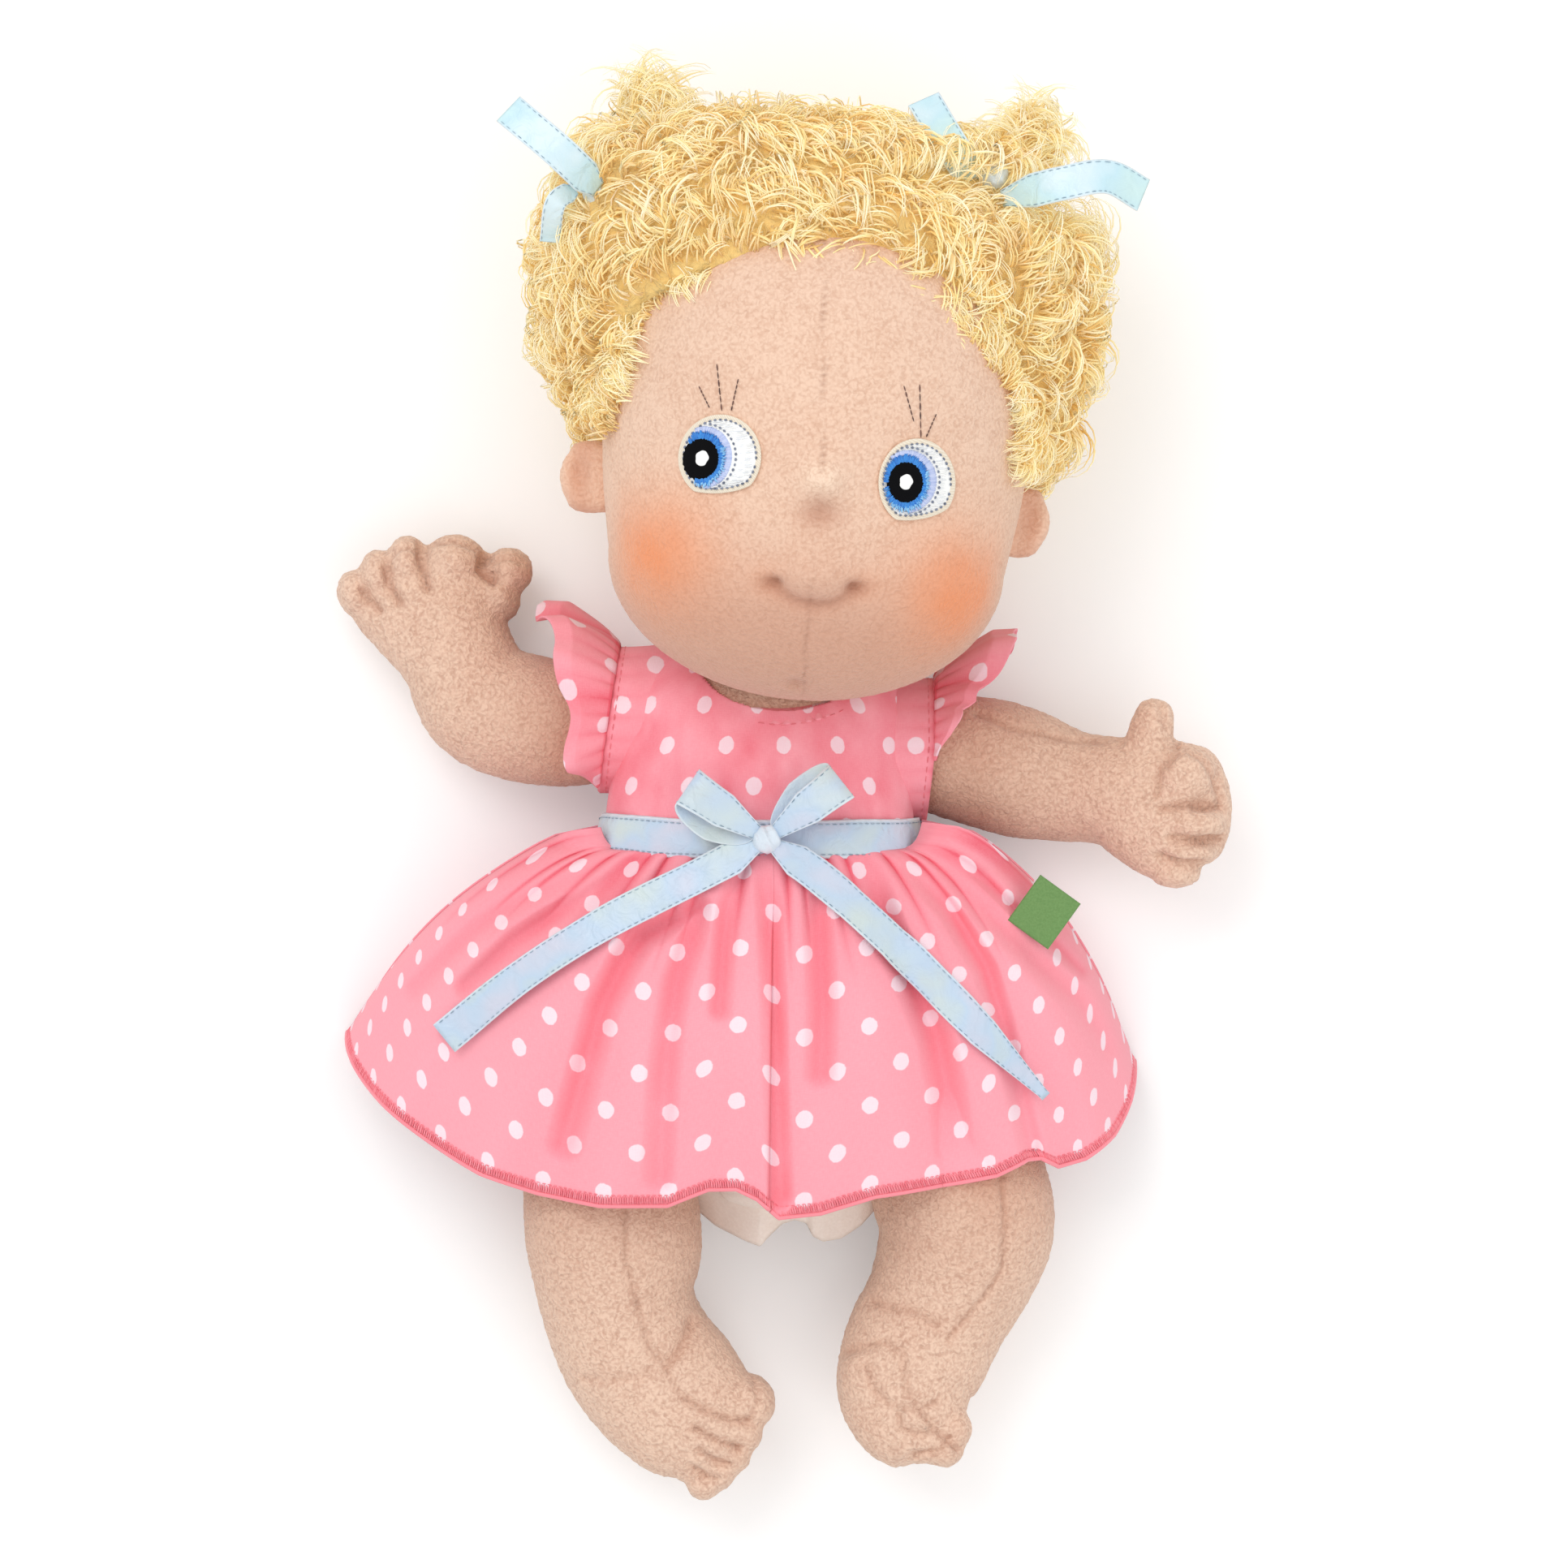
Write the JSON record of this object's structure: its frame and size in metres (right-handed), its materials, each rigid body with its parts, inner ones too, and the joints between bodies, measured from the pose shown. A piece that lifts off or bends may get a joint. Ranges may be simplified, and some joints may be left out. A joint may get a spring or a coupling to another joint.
{
  "type": "soft cloth doll",
  "caption": "Soft stuffed cloth baby doll with a curly wig in bunches, a spotted dress with a sash and bow, and limbs that swing.",
  "frame": {"origin": "on the surface that the doll lies on, under the middle of the bodice's flat back", "axes": "+Z the way the face looks, +Y towards the head, +X the doll's own left"},
  "size_m": [0.2025, 0.3209, 0.0992],
  "materials": {
    "skin_fleece": "matt short-pile fleece",
    "curly_pile": "curly pile locks",
    "spotted_cotton": "matt printed cotton with white spots",
    "satin_ribbon": "satin",
    "eye_twill": "matt twill",
    "iris_thread": "embroidery thread",
    "pupil_thread": "embroidery thread",
    "glint_thread": "embroidery thread",
    "touch_tape": "nylon loops and hooks",
    "nappy_cloth": "matt knitted cloth",
    "label_cloth": "matt woven tape"
  },
  "bodies": {
    "torso": {"torso": "skin_fleece", "bodice": "spotted_cotton", "neck_binding": "spotted_cotton", "skirt": "spotted_cotton", "frill_right": "spotted_cotton", "frill_left": "spotted_cotton", "waist_sash": "satin_ribbon", "bow_knot": "satin_ribbon", "bow_loop_right": "satin_ribbon", "bow_loop_left": "satin_ribbon", "bow_tail_right": "satin_ribbon", "bow_tail_left": "satin_ribbon", "side_label": "label_cloth", "hook_strip": "touch_tape", "loop_strip": "touch_tape", "nappy": "nappy_cloth", "nappy_tab_right": "touch_tape", "nappy_tab_left": "touch_tape"},
    "neck": {"neck": "skin_fleece"},
    "head": {"head": "skin_fleece", "ear_right": "skin_fleece", "ear_left": "skin_fleece", "wig": "curly_pile", "bunch_right": "curly_pile", "bunch_left": "curly_pile", "eye_patch_right": "eye_twill", "eye_patch_left": "eye_twill", "iris_right": "iris_thread", "iris_left": "iris_thread", "pupil_right": "pupil_thread", "pupil_left": "pupil_thread", "glint_right": "glint_thread", "glint_left": "glint_thread", "hair_knot_right": "satin_ribbon", "hair_knot_left": "satin_ribbon", "hair_tail_right_1": "satin_ribbon", "hair_tail_right_2": "satin_ribbon", "hair_tail_left_1": "satin_ribbon", "hair_tail_left_2": "satin_ribbon"},
    "shoulder_right": {"shoulder_patch_right": "skin_fleece"},
    "arm_right": {"arm_right": "skin_fleece"},
    "hip_right": {"hip_patch_right": "skin_fleece"},
    "leg_right": {"leg_right": "skin_fleece"},
    "shoulder_left": {"shoulder_patch_left": "skin_fleece"},
    "arm_left": {"arm_left": "skin_fleece"},
    "hip_left": {"hip_patch_left": "skin_fleece"},
    "leg_left": {"leg_left": "skin_fleece"}
  },
  "joints": [
    {"name": "neck_nod", "type": "hinge", "parent": "torso", "child": "neck", "pos_m": [0.0005, 0.015, 0.021], "axis": [1, 0, 0], "range_deg": [-10, 8]},
    {"name": "head_turn", "type": "hinge", "parent": "neck", "child": "head", "pos_m": [0.0005, 0.015, 0.021], "axis": [0.1462, 0.8514, 0.5037], "range_deg": [-25, 25]},
    {"name": "arm_swing_right", "type": "hinge", "parent": "torso", "child": "shoulder_right", "pos_m": [-0.034, 0.006, 0.02], "axis": [0, 1, 0], "range_deg": [0, 60], "deforming": ["frill_right"]},
    {"name": "arm_raise_right", "type": "hinge", "parent": "shoulder_right", "child": "arm_right", "pos_m": [-0.034, 0.006, 0.02], "axis": [0, 0, -1], "range_deg": [-20, 0]},
    {"name": "arm_swing_left", "type": "hinge", "parent": "torso", "child": "shoulder_left", "pos_m": [0.0345, -0.001, 0.02], "axis": [0, -1, 0], "range_deg": [0, 60], "deforming": ["frill_left"]},
    {"name": "arm_raise_left", "type": "hinge", "parent": "shoulder_left", "child": "arm_left", "pos_m": [0.0345, -0.001, 0.02], "axis": [0, 0, 1], "range_deg": [-12, 20]},
    {"name": "leg_lift_right", "type": "hinge", "parent": "torso", "child": "hip_right", "pos_m": [-0.031, -0.082, 0.0225], "axis": [-1, 0, 0], "range_deg": [0, 80], "deforming": ["skirt", "bow_tail_right"]},
    {"name": "leg_splay_right", "type": "hinge", "parent": "hip_right", "child": "leg_right", "pos_m": [-0.031, -0.082, 0.0225], "axis": [0, 0, -1], "range_deg": [-4, 15]},
    {"name": "leg_lift_left", "type": "hinge", "parent": "torso", "child": "hip_left", "pos_m": [0.035, -0.08, 0.0225], "axis": [-1, 0, 0], "range_deg": [0, 80], "deforming": ["bow_tail_left"]},
    {"name": "leg_splay_left", "type": "hinge", "parent": "hip_left", "child": "leg_left", "pos_m": [0.035, -0.08, 0.0225], "axis": [0, 0, 1], "range_deg": [-4, 15]}
  ]
}
